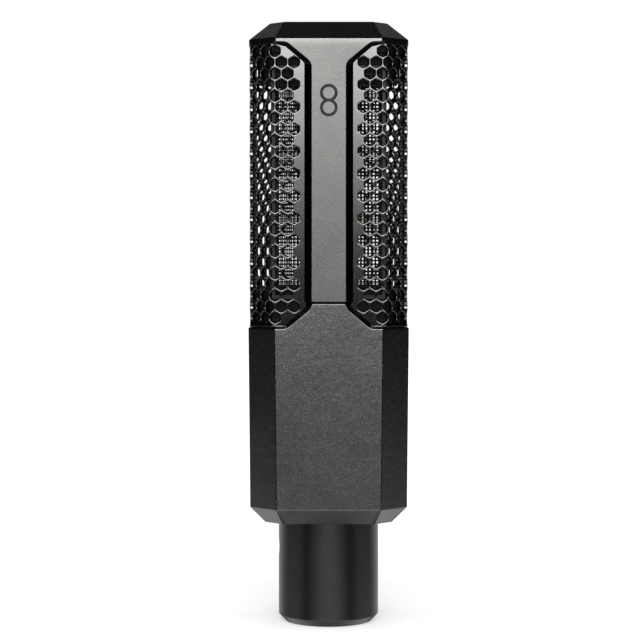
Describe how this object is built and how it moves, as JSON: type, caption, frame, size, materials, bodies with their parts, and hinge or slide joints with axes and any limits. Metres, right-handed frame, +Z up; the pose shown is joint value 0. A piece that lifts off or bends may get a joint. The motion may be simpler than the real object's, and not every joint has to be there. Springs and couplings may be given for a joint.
{
  "type": "ribbon microphone",
  "caption": "Slim side-address ribbon microphone with an eight-sided body, perforated wrap-round grilles, flat centre ribs and a round connector barrel.",
  "frame": {"origin": "centre of the connector barrel's open rim, which the microphone stands on", "axes": "+Z up along the barrel and body, -Y out of the front rib, +X to the right seen from the front"},
  "size_m": [0.0392, 0.0334, 0.1479],
  "materials": {
    "body_paint": "fine grained matt black powder coat",
    "barrel_black": "satin black anodised",
    "cap_black": "smooth satin black",
    "rib_metal": "fine satin gunmetal",
    "grille_metal": "satin gunmetal perforated sheet",
    "mesh_metal": "blackened woven wire",
    "mark_ink": "dark filled engraving",
    "ring_metal": "satin",
    "gasket_rubber": "matt",
    "bulkhead_plastic": "moulded black",
    "screw_steel": "zinc plated",
    "yoke_steel": "ground",
    "magnet_nickel": "nickel plated",
    "clamp_brass": "machined",
    "ribbon_foil": "corrugated foil",
    "pad_rubber": "soft moulded",
    "wire_red": "insulated wire",
    "wire_cream": "insulated wire",
    "sled_aluminium": "bent sheet",
    "core_iron": "strip-wound core",
    "coil_copper": "enamelled wire winding",
    "board_green": "circuit board",
    "capacitor_blue": "sleeved",
    "resistor_tan": "lacquered",
    "transistor_black": "moulded",
    "insert_plastic": "moulded",
    "pin_gold": "gold plated"
  },
  "bodies": {
    "root": {"body_shell": "body_paint", "barrel": "barrel_black", "barrel_nut": "clamp_brass", "head_cap": "cap_black", "front_rib": "rib_metal", "rear_rib": "rib_metal", "polar_mark": "mark_ink", "head_ring": "ring_metal", "gasket": "gasket_rubber", "grille_left": "grille_metal", "grille_right": "grille_metal", "inner_mesh_front": "mesh_metal", "inner_mesh_rear": "mesh_metal", "upper_bulkhead": "bulkhead_plastic", "lower_bulkhead": "bulkhead_plastic", "cap_screws": "screw_steel", "rib_screws": "screw_steel", "yoke_left": "yoke_steel", "yoke_right": "yoke_steel", "magnet_left": "magnet_nickel", "magnet_right": "magnet_nickel", "clamp_base_upper": "clamp_brass", "clamp_base_lower": "clamp_brass", "clamp_bar_upper": "clamp_brass", "clamp_bar_lower": "clamp_brass", "clamp_screws": "screw_steel", "motor_screws": "screw_steel", "pad_upper": "pad_rubber", "pad_lower": "pad_rubber", "lead_clip": "clamp_brass", "ribbon_leads": "wire_red", "coil_leads": "wire_cream", "sled": "sled_aluminium", "sled_screws": "screw_steel", "transformer_core": "core_iron", "transformer_coil": "coil_copper", "transformer_washer": "screw_steel", "transformer_bolt": "screw_steel", "transformer_nut": "screw_steel", "circuit_board": "board_green", "board_spacers": "clamp_brass", "board_screws": "screw_steel", "capacitors": "capacitor_blue", "resistors": "resistor_tan", "transistors": "transistor_black", "connector_insert": "insert_plastic", "connector_pins": "pin_gold", "connector_screw": "screw_steel", "signal_wires": "wire_cream"},
    "ribbon_foil": {"ribbon": "ribbon_foil"}
  },
  "joints": [
    {"name": "ribbon_travel", "type": "slide", "parent": "root", "child": "ribbon_foil", "axis": [0, 1, 0], "range_m": [-0.0005, 0.0005], "stiffness_N_per_m": 3.1, "deforming": ["ribbon"]}
  ]
}
